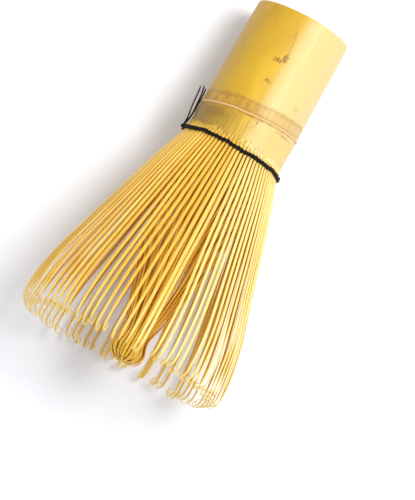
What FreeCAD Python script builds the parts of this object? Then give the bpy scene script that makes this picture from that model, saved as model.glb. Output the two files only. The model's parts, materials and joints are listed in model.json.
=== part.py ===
import FreeCAD, Part
import math
import os

# Bamboo tea whisk (chasen), lying on its side on a flat surface.
# One length of bamboo is the handle and, split lengthwise, all the tines. A dark thread woven
# round the roots of the tines keeps an outer fan apart from an inner bundle.
# Millimetres. Each piece is first built about the whisk's own axis: local Z runs from the cut
# end of the handle (0) to the tips, local Y is the side that faces up when the whisk lies down.
# lay_down() then tilts that axis, because the whisk rests on its handle's rim and on its fan.

# ---- driving dimensions: bamboo handle ------------------------------------------------
HANDLE_RADIUS = 14.3        # skin at the cut end
HANDLE_GROWTH = 0.34        # the internode is that much thicker where it starts to swell
HANDLE_BORE_RADIUS = 10.6   # hollow of the bamboo, open at the cut end
RIM_CHAMFER = 0.4           # broken edges of the cut end
SWELL_START = 28.6          # where the bamboo starts to swell towards its node
SWELL_RISE = 0.42           # how far it has swollen half way to the node, from the radius at the cut end
NODE_HEIGHT = 32.7          # sheath scar of the node
NODE_RADIUS = 15.05         # crest of that scar
NODE_GROOVE_RADIUS = 14.7   # shallow grooves on both sides of the crest
NODE_GROOVE_SPREAD = 0.6
DIAPHRAGM_START = 30.6      # natural floor that closes the bamboo at its node
DIAPHRAGM_DISH = 1.2        # how far the floor bulges towards the tips at its middle
DISH_HALF_WAY = 0.74        # share of that bulge half way to the wall
DIAPHRAGM_THICKNESS = 2.6
NECK_RADIUS = 14.65         # scraped neck between node and thread
NECK_SHOULDER = 1.0         # slopes into the neck, outside and inside
NECK_BORE_RADIUS = 13.0     # the neck is thinned from inside before it is split
NECK_END = 41.5             # below this the wall is split into tines

# ---- driving dimensions: tines ---------------------------------------------------------
GROUPS = 16                 # first splits of the bamboo
TINES_PER_GROUP = 5
TINE_PITCH = 4.25           # degrees between the outer tines of one group
GROUP_PITCH = 360.0 / GROUPS
EVEN_PITCH = GROUP_PITCH / TINES_PER_GROUP
FIRST_ANGLE = EVEN_PITCH / 4.0   # from above, the lower tines show between the upper ones

OUTER_ROOT_RADIUS = 14.7
OUTER_ROOT_HEIGHT = 41.75
OUTER_WIDTH = 0.74
OUTER_THICKNESS = 0.5
# Each run is (length along the tine, turn in degrees). A turn of 0 is straight, + leans away
# from the whisk's axis and - curls back towards it.
OUTER_FLARE = [
    (1.75, 0.0), (1.5, 20.5), (6.0, 0.0), (8.0, -2.9), (28.7, 0.0), (13.6, -9.6), (5.0, -8.0),
]
OUTER_CURL = [(7.3, -100.0), (3.8, -110.0)]

INNER_ROOT_RADIUS = 13.5
INNER_ROOT_HEIGHT = 42.55
INNER_STRAIGHT = 1.4
INNER_WIDTH = 0.36
INNER_THICKNESS = 0.34
INNER_ROUND_RADIUS = 14.0   # bend back to parallel just before the curl
# The three layers of the bundle, outermost first: (axial length of the long curve from the neck,
# radius where that curve ends, radius of the curl at the tip, turn of the curl in degrees).
INNER_LAYERS = [(60.0, 5.6, 1.3, 115.0), (57.6, 4.1, 0.9, 110.0), (55.8, 2.9, 0.6, 60.0)]
LAYER_ORDER = (0, 1, 0, 2)  # layers of four neighbouring tines

# ---- driving dimensions: thread --------------------------------------------------------
THREAD_HEIGHT = 43.0        # plane of the weave, and of the line that the tines bend about
THREAD_RADIUS = 0.31
BINDING_RING_RADIUS = 15.39
BINDING_SPREAD = 0.33       # half the distance between the two binding rounds
WEAVE_RING_RADIUS = 14.1
WEAVE_THREAD_RADIUS = 0.22
KNOT_RADIUS = 0.75
KNOT_RING_RADIUS = 16.5
KNOT_ANGLE = -84.0          # degrees from the upper side
TAIL_RADIUS = 0.22
TAIL_BEND_SHARE = 0.45      # how much of a straight run each bend takes
# Route of each thread tail from the knot: (angle, distance from the axis, height).
TAIL_ROUTES = {
    "thread_tail_long": [(-84.0, 16.9, 41.9), (-84.5, 17.5, 38.6), (-83.5, 17.0, 35.0), (-82.0, 17.2, 31.6)],
    "thread_tail_middle": [(-80.0, 16.6, 42.1), (-79.0, 16.4, 39.0), (-78.0, 16.7, 35.6), (-77.5, 16.3, 32.0)],
    "thread_tail_short": [(-88.0, 16.5, 42.2), (-88.5, 16.1, 39.8), (-86.0, 16.4, 36.8), (-85.5, 16.2, 34.2)],
}

# ---- how it lies ------------------------------------------------------------------------
TILT = math.radians(8.55)   # the fan is wider than the handle, so the axis rises to the tips
REST_HEIGHT = HANDLE_RADIUS * math.cos(TILT) - RIM_CHAMFER * math.sin(TILT)
REST_SAMPLES = 12           # points per run at which a tine is tried against the floor
LEAST_FLARE = 0.8           # a resting tine keeps at least this share of its flare
HALVINGS = 30               # of the interval between that share and 1


def on_axis(angle, radius, height):
    """A point of the whisk's own frame; angle in degrees from the side that faces up."""
    turn = math.radians(angle)
    return FreeCAD.Vector(radius * math.sin(turn), radius * math.cos(turn), height)


def lay_down(shape):
    """Turn a piece from the whisk's own frame to the way the whisk lies."""
    sine = math.sin(TILT)
    cosine = math.cos(TILT)
    laid = FreeCAD.Matrix(
        0.0, sine, -cosine, 0.0,
        -1.0, 0.0, 0.0, 0.0,
        0.0, cosine, sine, REST_HEIGHT,
        0.0, 0.0, 0.0, 1.0)
    moved = shape.copy()
    moved.Placement = FreeCAD.Placement(laid).multiply(moved.Placement)
    return moved


def stand_at(shape, angle):
    """Turn a tine, built in the upper half plane, round the whisk's axis to its own angle."""
    return shape.rotated(FreeCAD.Vector(0, 0, 0), FreeCAD.Vector(0, 0, 1), -angle)


# ---- handle, node and neck ----------------------------------------------------------------
def handle_outline():
    """Closed outline of the bamboo's wall and diaphragm, as (radius, height) in a half plane."""
    def at(radius, height):
        return FreeCAD.Vector(0.0, radius, height)

    groove_above = NODE_HEIGHT - NODE_GROOVE_SPREAD
    groove_below = NODE_HEIGHT + NODE_GROOVE_SPREAD
    diaphragm_end = DIAPHRAGM_START + DIAPHRAGM_THICKNESS
    swell_middle = (SWELL_START + groove_above) / 2.0
    skin = [
        Part.LineSegment(at(HANDLE_RADIUS - RIM_CHAMFER, 0.0), at(HANDLE_RADIUS, RIM_CHAMFER)),
        Part.LineSegment(at(HANDLE_RADIUS, RIM_CHAMFER), at(HANDLE_RADIUS + HANDLE_GROWTH, SWELL_START)),
        Part.Arc(at(HANDLE_RADIUS + HANDLE_GROWTH, SWELL_START), at(HANDLE_RADIUS + SWELL_RISE, swell_middle),
                 at(NODE_GROOVE_RADIUS, groove_above)),
        Part.Arc(at(NODE_GROOVE_RADIUS, groove_above), at(NODE_RADIUS, NODE_HEIGHT),
                 at(NODE_GROOVE_RADIUS, groove_below)),
        Part.LineSegment(at(NODE_GROOVE_RADIUS, groove_below), at(NECK_RADIUS, groove_below + NECK_SHOULDER)),
        Part.LineSegment(at(NECK_RADIUS, groove_below + NECK_SHOULDER), at(NECK_RADIUS, NECK_END)),
    ]
    inside = [
        Part.LineSegment(at(NECK_RADIUS, NECK_END), at(NECK_BORE_RADIUS, NECK_END)),
        Part.LineSegment(at(NECK_BORE_RADIUS, NECK_END), at(NECK_BORE_RADIUS, diaphragm_end + NECK_SHOULDER)),
        Part.LineSegment(at(NECK_BORE_RADIUS, diaphragm_end + NECK_SHOULDER),
                         at(NECK_BORE_RADIUS - NECK_SHOULDER, diaphragm_end)),
        Part.LineSegment(at(NECK_BORE_RADIUS - NECK_SHOULDER, diaphragm_end), at(0.0, diaphragm_end)),
        Part.LineSegment(at(0.0, diaphragm_end), at(0.0, DIAPHRAGM_START + DIAPHRAGM_DISH)),
        Part.Arc(at(0.0, DIAPHRAGM_START + DIAPHRAGM_DISH),
                 at(HANDLE_BORE_RADIUS / 2.0, DIAPHRAGM_START + DIAPHRAGM_DISH * DISH_HALF_WAY),
                 at(HANDLE_BORE_RADIUS, DIAPHRAGM_START)),
        Part.LineSegment(at(HANDLE_BORE_RADIUS, DIAPHRAGM_START), at(HANDLE_BORE_RADIUS, RIM_CHAMFER)),
        Part.LineSegment(at(HANDLE_BORE_RADIUS, RIM_CHAMFER), at(HANDLE_BORE_RADIUS + RIM_CHAMFER, 0.0)),
        Part.LineSegment(at(HANDLE_BORE_RADIUS + RIM_CHAMFER, 0.0), at(HANDLE_RADIUS - RIM_CHAMFER, 0.0)),
    ]
    return Part.Wire([curve.toShape() for curve in skin + inside])


def bamboo_handle():
    face = Part.Face(handle_outline())
    return face.revolve(FreeCAD.Vector(0, 0, 0), FreeCAD.Vector(0, 0, 1), 360.0)


# ---- tines --------------------------------------------------------------------------------
def follow(radius, height, runs):
    """Nodes of a bent strip's centre line: start, middle and end of each run, with directions.

    A direction of 0 points along the axis to the tips, and + leans away from the axis.
    """
    lean = 0.0
    stations = []
    for length, turn in runs:
        half = math.radians(turn) / 2.0
        start = (radius, height, lean)
        if turn == 0.0:
            middle = (radius + length / 2.0 * math.sin(lean), height + length / 2.0 * math.cos(lean), lean)
            radius += length * math.sin(lean)
            height += length * math.cos(lean)
        else:
            bend = length / (2.0 * half)
            middle = (radius + bend * (math.cos(lean) - math.cos(lean + half)),
                      height + bend * (math.sin(lean + half) - math.sin(lean)), lean + half)
            radius += bend * (math.cos(lean) - math.cos(lean + 2.0 * half))
            height += bend * (math.sin(lean + 2.0 * half) - math.sin(lean))
            lean += 2.0 * half
        stations.append((start, middle, (radius, height, lean), turn != 0.0))
    return stations


def beside(station, offset):
    """The point at a distance outwards from a strip's centre line."""
    radius, height, lean = station
    return FreeCAD.Vector(0.0, radius + offset * math.cos(lean), height - offset * math.sin(lean))


def strip(stations, thickness, width):
    """A bent strip of constant section, in the upper half plane of the whisk's own frame."""
    half = thickness / 2.0
    edges = []
    for offset in (half, -half):
        for start, middle, end, curved in stations:
            first = beside(start, offset)
            last = beside(end, offset)
            if curved:
                edges.append(Part.Arc(first, beside(middle, offset), last).toShape())
            else:
                edges.append(Part.LineSegment(first, last).toShape())
    for station in (stations[0][0], stations[-1][2]):
        edges.append(Part.LineSegment(beside(station, -half), beside(station, half)).toShape())
    outline = Part.Wire(Part.__sortEdges__(edges))
    face = Part.Face(outline)
    face.translate(FreeCAD.Vector(-width / 2.0, 0.0, 0.0))
    return face.extrude(FreeCAD.Vector(width, 0.0, 0.0))


def outer_runs(flare):
    """Runs of an outer tine, with the turns of its flare scaled by a factor."""
    return [(length, turn * flare) for length, turn in OUTER_FLARE] + OUTER_CURL


def reach_below(flare, angle):
    """How far an outer tine reaches below the plane that the whisk lies on."""
    turn = math.radians(angle)
    short_runs = [(length / REST_SAMPLES, bend / REST_SAMPLES)
                  for length, bend in outer_runs(flare) for part in range(REST_SAMPLES)]
    lowest = -OUTER_ROOT_HEIGHT
    for station in follow(OUTER_ROOT_RADIUS, OUTER_ROOT_HEIGHT, short_runs):
        radius, height, lean = station[2]
        skin = radius + OUTER_THICKNESS / 2.0
        drop = -math.cos(turn) * skin + abs(math.sin(turn)) * OUTER_WIDTH / 2.0
        below = drop * math.cos(TILT) - height * math.sin(TILT) - REST_HEIGHT
        lowest = max(lowest, below)
    return lowest


def resting_flare(angle):
    """1 for a free tine, less for one that the weight of the whisk bends in against the floor."""
    if reach_below(1.0, angle) <= 0.0:
        return 1.0
    low = LEAST_FLARE
    high = 1.0
    for halving in range(HALVINGS):
        flare = (low + high) / 2.0
        if reach_below(flare, angle) > 0.0:
            high = flare
        else:
            low = flare
    return low


def outer_tine(angle):
    flare = resting_flare(angle)
    stations = follow(OUTER_ROOT_RADIUS, OUTER_ROOT_HEIGHT, outer_runs(flare))
    return stand_at(strip(stations, OUTER_THICKNESS, OUTER_WIDTH), angle)


def outer_group(group):
    """Five neighbouring outer tines; group 0 is uppermost and group 8 lies on the floor."""
    middle = (TINES_PER_GROUP - 1) / 2.0
    tines = [outer_tine(FIRST_ANGLE + group * GROUP_PITCH + (tine - middle) * TINE_PITCH)
             for tine in range(TINES_PER_GROUP)]
    return Part.makeCompound(tines)


def inner_tine(number, angle):
    """An inner tine. Every second one is in the bundle's outermost layer, the others in two more."""
    layer = INNER_LAYERS[LAYER_ORDER[number % len(LAYER_ORDER)]]
    sweep, bundle_radius, curl_radius, curl_turn = layer
    inward = INNER_ROOT_RADIUS - bundle_radius
    lean = 2.0 * math.atan2(inward, sweep)
    sweep_radius = sweep / math.sin(lean)
    runs = [
        (INNER_STRAIGHT, 0.0),
        (sweep_radius * lean, -math.degrees(lean)),
        (INNER_ROUND_RADIUS * lean, math.degrees(lean)),
        (curl_radius * math.radians(curl_turn), -curl_turn),
    ]
    stations = follow(INNER_ROOT_RADIUS, INNER_ROOT_HEIGHT, runs)
    return stand_at(strip(stations, INNER_THICKNESS, INNER_WIDTH), angle)


def inner_group(group):
    """Five neighbouring inner tines; each stands between two outer ones at the neck."""
    middle = (TINES_PER_GROUP - 1) / 2.0
    tines = []
    for tine in range(TINES_PER_GROUP):
        number = group * TINES_PER_GROUP + tine
        angle = FIRST_ANGLE + group * GROUP_PITCH + (tine - middle) * EVEN_PITCH
        tines.append(inner_tine(number, angle))
    return Part.makeCompound(tines)


# ---- thread -------------------------------------------------------------------------------
def thread_round(ring_radius, thread_radius, height):
    centre = FreeCAD.Vector(0.0, 0.0, height)
    return Part.makeTorus(ring_radius, thread_radius, centre, FreeCAD.Vector(0, 0, 1))


def thread_knot():
    return Part.makeSphere(KNOT_RADIUS, on_axis(KNOT_ANGLE, KNOT_RING_RADIUS, THREAD_HEIGHT))


def rounded_path(points, share):
    """Straight runs joined by tangent arcs; each arc takes that share of the shorter run."""
    edges = []
    start = points[0]
    for before, corner, after in zip(points, points[1:], points[2:]):
        back = before.sub(corner)
        ahead = after.sub(corner)
        reach = share * min(back.Length, ahead.Length)
        back.normalize()
        ahead.normalize()
        enter = corner.add(back * reach)
        leave = corner.add(ahead * reach)
        half_angle = back.getAngle(ahead) / 2.0
        radius = reach * math.tan(half_angle)
        inward = back.add(ahead)
        inward.normalize()
        centre = corner.add(inward * (reach / math.cos(half_angle)))
        crown = centre.sub(inward * radius)
        edges.append(Part.LineSegment(start, enter).toShape())
        edges.append(Part.Arc(enter, crown, leave).toShape())
        start = leave
    edges.append(Part.LineSegment(start, points[-1]).toShape())
    return Part.Wire(edges)


def thread_tail(route):
    """One loose end of the thread, held out by its own stiffness."""
    points = [on_axis(*station) for station in route]
    path = rounded_path(points, TAIL_BEND_SHARE)
    direction = points[1].sub(points[0])
    ring = Part.Wire(Part.makeCircle(TAIL_RADIUS, points[0], direction))
    tube = path.makePipeShell([ring], True, True)
    print("tail", round(path.Length, 2), "mm, volume ratio",
          round(tube.Volume / (math.pi * TAIL_RADIUS ** 2 * path.Length), 4))
    return tube


# ---- all pieces ----------------------------------------------------------------------------
def all_nodes():
    nodes = {"bamboo_handle": bamboo_handle()}
    for group in range(GROUPS):
        nodes["outer_tines_%02d" % (group + 1)] = outer_group(group)
        nodes["inner_tines_%02d" % (group + 1)] = inner_group(group)
    nodes["binding_thread_upper"] = thread_round(
        BINDING_RING_RADIUS, THREAD_RADIUS, THREAD_HEIGHT - BINDING_SPREAD)
    nodes["binding_thread_lower"] = thread_round(
        BINDING_RING_RADIUS, THREAD_RADIUS, THREAD_HEIGHT + BINDING_SPREAD)
    nodes["inner_weaving_thread"] = thread_round(WEAVE_RING_RADIUS, WEAVE_THREAD_RADIUS, THREAD_HEIGHT)
    nodes["thread_knot"] = thread_knot()
    for name, route in TAIL_ROUTES.items():
        nodes[name] = thread_tail(route)
    return {name: lay_down(shape) for name, shape in nodes.items()}


def centre_on_floor(nodes):
    """Move all pieces so that the origin is the middle of the whole whisk's footprint."""
    box = Part.makeCompound(list(nodes.values())).optimalBoundingBox(False, False)
    shift = FreeCAD.Vector(-(box.XMin + box.XMax) / 2.0, -(box.YMin + box.YMax) / 2.0, -box.ZMin)
    print("shift", [round(value, 4) for value in shift])
    print("size", round(box.XLength, 3), round(box.YLength, 3), round(box.ZLength, 3))
    for shape in nodes.values():
        shape.translate(shift)


os.makedirs("parts", exist_ok=True)
whisk = all_nodes()
centre_on_floor(whisk)
for name, shape in whisk.items():
    shape.exportStep("parts/" + name + ".step")
print("nodes", len(whisk), "volume mm3", round(sum(shape.Volume for shape in whisk.values()), 1))
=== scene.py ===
# %% [markdown]
# # A bamboo tea whisk
#
# The real whisk is one piece of bamboo. Its lower half is the handle; its upper half is split
# into about 160 tines. Every second tine is bent outwards into a fan, the others are gathered
# into a bundle, and a black thread woven round their roots keeps the two apart. The CAD model
# gives the sizes, and this lesson dresses each CAD piece in a surface worked out with numpy.

# %% Load the CAD frame
import json
import math

import bpy
import numpy as np
from mathutils import Matrix, Vector


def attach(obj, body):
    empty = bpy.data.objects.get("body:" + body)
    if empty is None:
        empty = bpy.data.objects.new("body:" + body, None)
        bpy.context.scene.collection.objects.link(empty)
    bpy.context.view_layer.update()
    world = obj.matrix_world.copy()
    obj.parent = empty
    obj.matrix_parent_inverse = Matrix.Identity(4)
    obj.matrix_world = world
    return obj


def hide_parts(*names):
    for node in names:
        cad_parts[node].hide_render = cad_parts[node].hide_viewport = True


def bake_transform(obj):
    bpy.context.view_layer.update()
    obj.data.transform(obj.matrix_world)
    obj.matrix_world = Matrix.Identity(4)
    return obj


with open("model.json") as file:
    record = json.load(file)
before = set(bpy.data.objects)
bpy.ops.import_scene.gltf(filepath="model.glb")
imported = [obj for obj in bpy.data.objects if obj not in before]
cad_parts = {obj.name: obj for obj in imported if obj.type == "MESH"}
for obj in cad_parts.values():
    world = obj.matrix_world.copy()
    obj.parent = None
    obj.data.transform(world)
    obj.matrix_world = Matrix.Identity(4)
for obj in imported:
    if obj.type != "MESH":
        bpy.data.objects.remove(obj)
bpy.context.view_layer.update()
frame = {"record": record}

# %% [markdown]
# ## The whisk's own axes
#
# The whisk lies on its side and its axis rises to the tips, because the fan is wider than the
# handle. It is easier to think along that axis, so every shape below is written in millimetres
# as (side, up, along), with along = 0 at the handle's cut end, and turned into the CAD frame
# by one function. The axis is read from the record's two mounts on the handle. The fan has
# 80 outer tines in 16 groups of five, a pitch of 4.5 degrees.

# %% Axes from the mounts
mounts = {mount["name"]: mount for mount in frame["record"]["mounts"]}
OUT_OF_HANDLE = np.array(mounts["handle_bore"]["axis"])
OUT_OF_HANDLE = OUT_OF_HANDLE / np.linalg.norm(OUT_OF_HANDLE)
bore_point = np.array(mounts["handle_bore"]["pos_m"])
end_point = np.array(mounts["handle_end"]["pos_m"])
CUT_CENTRE = bore_point + OUT_OF_HANDLE * np.dot(end_point - bore_point, OUT_OF_HANDLE)
TO_TIPS = -OUT_OF_HANDLE
UP_SIDE = np.array([0.0, 0.0, 1.0]) - TO_TIPS[2] * TO_TIPS
UP_SIDE = UP_SIDE / np.linalg.norm(UP_SIDE)
SIDE = np.cross(UP_SIDE, TO_TIPS)
MM = 0.001
GROUPS = 16
PER_GROUP = 5
TINES = GROUPS * PER_GROUP
PITCH = 360.0 / TINES
FIRST_ANGLE = PITCH / 4.0


def to_frame(whisk):
    """Points (..., 3) given as (side, up, along) in mm, as metres in the CAD frame."""
    across = whisk[..., :1] * SIDE + whisk[..., 1:2] * UP_SIDE
    return CUT_CENTRE + MM * (across + whisk[..., 2:] * TO_TIPS)


def stack(*parts):
    """Arrays of coordinates, spread to one shape and put side by side in a new last axis."""
    return np.stack(np.broadcast_arrays(*parts), axis=-1)


FLOOR_UNDER_AXIS = CUT_CENTRE[2] / MM
TILT_SINE = TO_TIPS[2]
TILT_COSINE = UP_SIDE[2]
print("axis rises by", round(math.degrees(math.asin(TILT_SINE)), 2), "degrees")

# %% [markdown]
# ## Camera, light and floor
#
# The camera looks down on the whisk from a long way off, so nearly everything is seen in
# parallel. It is turned about its own axis so that the handle points to the upper right. The
# light is one wide soft lamp on the handle's right, a weaker one opposite and a bright sky:
# that keeps the floor white and leaves one soft grey shadow on the whisk's left.

# %% Camera
CAMERA_DISTANCE = 1.72
PICTURE_HEIGHT = 0.1418
SENSOR = 36.0
CAMERA_LEAN = math.radians(-0.15)
HANDLE_TURN = math.radians(60.65)
AIM_FROM_CUT = (-0.0695, -0.0076, 0.0040)
AIM = Vector(CUT_CENTRE) + Vector(AIM_FROM_CUT)

look = Vector((-math.sin(CAMERA_LEAN), 0.0, -math.cos(CAMERA_LEAN)))
right = Vector((math.cos(HANDLE_TURN), -math.sin(HANDLE_TURN), 0.0))
right = (right - look * right.dot(look)).normalized()
camera_up = right.cross(look)
camera_data = bpy.data.cameras.new("camera")
camera_data.sensor_width = SENSOR
camera_data.lens = SENSOR * CAMERA_DISTANCE / PICTURE_HEIGHT
camera_data.clip_start = 0.1
camera_data.clip_end = 20.0
camera = bpy.data.objects.new("camera", camera_data)
bpy.context.scene.collection.objects.link(camera)
camera.matrix_world = Matrix.Translation(AIM - look * CAMERA_DISTANCE) @ Matrix(
    (right, camera_up, -look)).transposed().to_4x4()
bpy.context.scene.camera = camera
print("lens", round(camera_data.lens), "mm")

# %% [markdown]
# Colours are written as the hex values that a painter's program shows. Blender's shaders want
# linear light, so one function converts them. One more small function adds a shader node with
# its settings and links: with it, a material reads as a list of its layers.


# %% Colour and node helpers
def linear(code, alpha=1.0):
    """Turn an sRGB hex colour, such as F0C838, to linear red, green, blue and alpha."""
    channels = [int(code[place:place + 2], 16) / 255.0 for place in (0, 2, 4)]
    curved = [c / 12.92 if c <= 0.04045 else ((c + 0.055) / 1.055) ** 2.4 for c in channels]
    return (*curved, alpha)


def add(tree, kind, inputs=None, **settings):
    """Add a node. inputs maps a socket's name or number to a value or to another node's output."""
    made = tree.nodes.new("ShaderNode" + kind)
    for name, value in settings.items():
        setattr(made, name, value)
    for socket, value in (inputs or {}).items():
        if isinstance(value, bpy.types.NodeSocket):
            tree.links.new(value, made.inputs[socket])
        else:
            made.inputs[socket].default_value = value
    return made


def ramp(tree, factor, stops, smooth=False):
    """A colour ramp on a 0 to 1 factor; stops are (place, hex colour)."""
    made = add(tree, "ValToRGB", {0: factor})
    made.color_ramp.interpolation = "EASE" if smooth else "LINEAR"
    elements = made.color_ramp.elements
    for place, code in stops[2:]:
        elements.new(place)
    for element, (place, code) in zip(elements, sorted(stops)):
        element.position = place
        element.color = linear(code)
    return made.outputs[0]


def mixed(tree, factor, first, second, how="MIX"):
    """Two colours mixed, or the first one multiplied, screened and so on by the second."""
    made = add(tree, "Mix", {0: factor, 6: first, 7: second}, data_type="RGBA", blend_type=how)
    return made.outputs[2]


def arithmetic(tree, operation, first, second):
    """One sum, product, power or other operation on two numbers."""
    made = add(tree, "Math", {0: first, 1: second}, operation=operation)
    return made.outputs[0]


def times(tree, first, second):
    """The product of two numbers."""
    return arithmetic(tree, "MULTIPLY", first, second)


def spread(tree, value, low, high, to_low=0.0, to_high=1.0):
    """A number moved from the range low to high onto the range to_low to to_high, and kept there."""
    sockets = {0: value, 1: low, 2: high, 3: to_low, 4: to_high}
    return add(tree, "MapRange", sockets, clamp=True).outputs[0]


def band(tree, value, rise, fall):
    """1 between two soft edges and 0 outside them; rise and fall are the (start, end) of each edge."""
    return times(tree, spread(tree, value, *rise), spread(tree, value, fall[1], fall[0]))


def new_material(name):
    """An empty material with its shader; returns the material, its tree and the shader."""
    made = bpy.data.materials.new(name)
    made.use_nodes = True
    tree = made.node_tree
    tree.nodes.clear()
    shader = add(tree, "BsdfPrincipled")
    add(tree, "OutputMaterial", {0: shader.outputs[0]})
    return made, tree, shader


# %% Floor, sky and lamps
def soft_lamp(name, size, watts, place, tint):
    """A square area lamp that faces the whisk."""
    data = bpy.data.lights.new(name, "AREA")
    data.size = size
    data.energy = watts
    data.color = linear(tint)[:3]
    lamp = bpy.data.objects.new(name, data)
    bpy.context.scene.collection.objects.link(lamp)
    lamp.location = place
    lamp.rotation_mode = "QUATERNION"
    lamp.rotation_quaternion = (AIM - Vector(place)).to_track_quat("-Z", "Y")
    return lamp


FLOOR_SIZE = 6.0
corners = FLOOR_SIZE / 2.0 * np.array([[-1, -1, 0], [1, -1, 0], [1, 1, 0], [-1, 1, 0]])
floor_mesh = bpy.data.meshes.new("floor")
floor_mesh.from_pydata(corners.tolist(), [], [(0, 1, 2, 3)])
floor = bpy.data.objects.new("floor", floor_mesh)
bpy.context.scene.collection.objects.link(floor)
paper, paper_tree, paper_shader = new_material("matt white paper")
paper_grain = add(paper_tree, "TexNoise", {"Scale": 60.0, "Detail": 2.0})
paper_colour = ramp(paper_tree, paper_grain.outputs[0], [(0.3, "F0F1F3"), (0.7, "F4F5F7")])
paper_tree.links.new(paper_colour, paper_shader.inputs["Base Color"])
paper_shader.inputs["Roughness"].default_value = 0.9
paper_shader.inputs["Specular IOR Level"].default_value = 0.1
floor_mesh.materials.append(paper)

sky = bpy.data.worlds.new("sky")
sky.use_nodes = True
sky.node_tree.nodes["Background"].inputs[0].default_value = linear("F5F8FF")
sky.node_tree.nodes["Background"].inputs[1].default_value = 0.73
bpy.context.scene.world = sky

picture_right = Vector((right.x, right.y, 0.0)).normalized()
picture_top = Vector((camera_up.x, camera_up.y, 0.0)).normalized()
key_place = picture_right * 0.44 + picture_top * 0.16 + Vector((0.0, 0.0, 0.82))
fill_place = picture_right * -0.5 + picture_top * 0.4 + Vector((0.0, 0.0, 0.9))
soft_lamp("key lamp", 0.36, 6.5, key_place, "FFFFFF")
soft_lamp("fill lamp", 0.9, 0.8, fill_place, "FFFFFF")
bpy.context.scene.view_settings.view_transform = "Standard"
print("lamps and floor ready")

# %% [markdown]
# ## From a grid of points to a mesh
#
# All the whisk's pieces are tubes of some kind: rows of rings. One function turns an array of
# such rings into a mesh. It takes many strips at once, each with the same number of rings and
# of points in a ring, closes the two ends of each strip, and turns the faces outwards if the
# enclosed volume comes out negative. Values that a material needs, such as how far along the
# tine a point is, go in as named attributes.


# %% Mesh helper
def ring_mesh(name, points, numbers=None, vectors=None):
    """Mesh of closed tubes: points has the shape (strips, rings, points in a ring, 3), in metres."""
    strips, rings, across = points.shape[:3]
    index = np.arange(strips * rings * across).reshape(strips, rings, across)
    turned = np.roll(index, -1, axis=2)
    quads = stack(index[:, :-1], turned[:, :-1], turned[:, 1:], index[:, 1:]).reshape(-1, 4)
    caps = np.concatenate([index[:, 0, ::-1], index[:, -1]])
    a, b, c, d = (points.reshape(-1, 3)[quads[:, corner]] for corner in range(4))
    volume = np.einsum("ij,ij->", a, np.cross(b, c)) + np.einsum("ij,ij->", a, np.cross(c, d))
    if volume < 0.0:
        quads = quads[:, ::-1]
        caps = caps[:, ::-1]
    corners = np.concatenate([quads.ravel(), caps.ravel()])
    sizes = np.concatenate([np.full(len(quads), 4), np.full(len(caps), across)])
    mesh = bpy.data.meshes.new(name)
    mesh.vertices.add(index.size)
    mesh.loops.add(len(corners))
    mesh.polygons.add(len(sizes))
    mesh.vertices.foreach_set("co", points.astype(np.float32).ravel())
    mesh.loops.foreach_set("vertex_index", corners.astype(np.int32))
    mesh.polygons.foreach_set("loop_start", np.concatenate([[0], np.cumsum(sizes)[:-1]]).astype(np.int32))
    mesh.polygons.foreach_set("use_smooth", np.ones(len(sizes), bool))
    for label, values in (numbers or {}).items():
        layer = mesh.attributes.new(label, "FLOAT", "POINT")
        layer.data.foreach_set("value", np.broadcast_to(values, index.shape).astype(np.float32).ravel())
    for label, values in (vectors or {}).items():
        layer = mesh.attributes.new(label, "FLOAT_VECTOR", "POINT")
        layer.data.foreach_set("vector", values.astype(np.float32).ravel())
    mesh.update(calc_edges=True)
    mesh.validate()
    piece = bpy.data.objects.new(name, mesh)
    bpy.context.scene.collection.objects.link(piece)
    return piece


def ease(x):
    """0 below 0, 1 above 1, and a smooth step between."""
    x = np.clip(x, 0.0, 1.0)
    return x * x * (3.0 - 2.0 * x)


def finish_piece(piece, material, node):
    """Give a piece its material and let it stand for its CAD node."""
    piece.data.materials.append(material)
    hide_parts(node)


# %% [markdown]
# ## Bamboo skin
#
# The handle keeps the bamboo's own skin: sun-dried until it is golden, hard, and glossy with
# its natural wax. Close to the node the skin is browner. The scar of the leaf sheath is a ridge:
# a thin pinkish line along its crest is painted highlight, and dark lines in the grooves beside it
# are painted shade. Below the node the skin has been scraped, so it is duller and a little green.
# On the side towards the key lamp the skin is paler, partly its own colour and partly painted
# light; the side away from it and the left of the neck are painted darker as shade, and so are
# the knife cuts. Fibres run along the handle everywhere. The cut end shows paler wood with
# the dark dots of the fibre bundles.
#
# The pattern could be painted on a UV map, but a map has a seam. Each point instead carries its
# own place as (side, up, along) in millimetres, and noise in three dimensions reads that.


# %% Material: sun-dried bamboo skin
def fibres(tree, place, across, along, detail=3.0):
    """Noise drawn out along the bamboo: across and along are the grain's size in mm."""
    stretched = add(tree, "Mapping", {0: place, 3: (1.0 / across, 1.0 / across, 1.0 / along)})
    made = add(tree, "TexNoise", {"Vector": stretched.outputs[0], "Scale": 1.0, "Detail": detail})
    return made.outputs[0]


def soft_spot(tree, side, along, wobble, centre, size):
    """A soft spot: 1 at its centre, 0 beyond its size (side, along), in mm."""
    from_side = arithmetic(tree, "DIVIDE", arithmetic(tree, "SUBTRACT", side, centre[0]), size[0])
    from_along = arithmetic(tree, "DIVIDE", arithmetic(tree, "SUBTRACT", along, centre[1]), size[1])
    squares = arithmetic(tree, "ADD", times(tree, from_side, from_side), times(tree, from_along, from_along))
    ragged = arithmetic(tree, "ADD", squares, wobble)
    return spread(tree, ragged, 1.0, 0.2)


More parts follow.
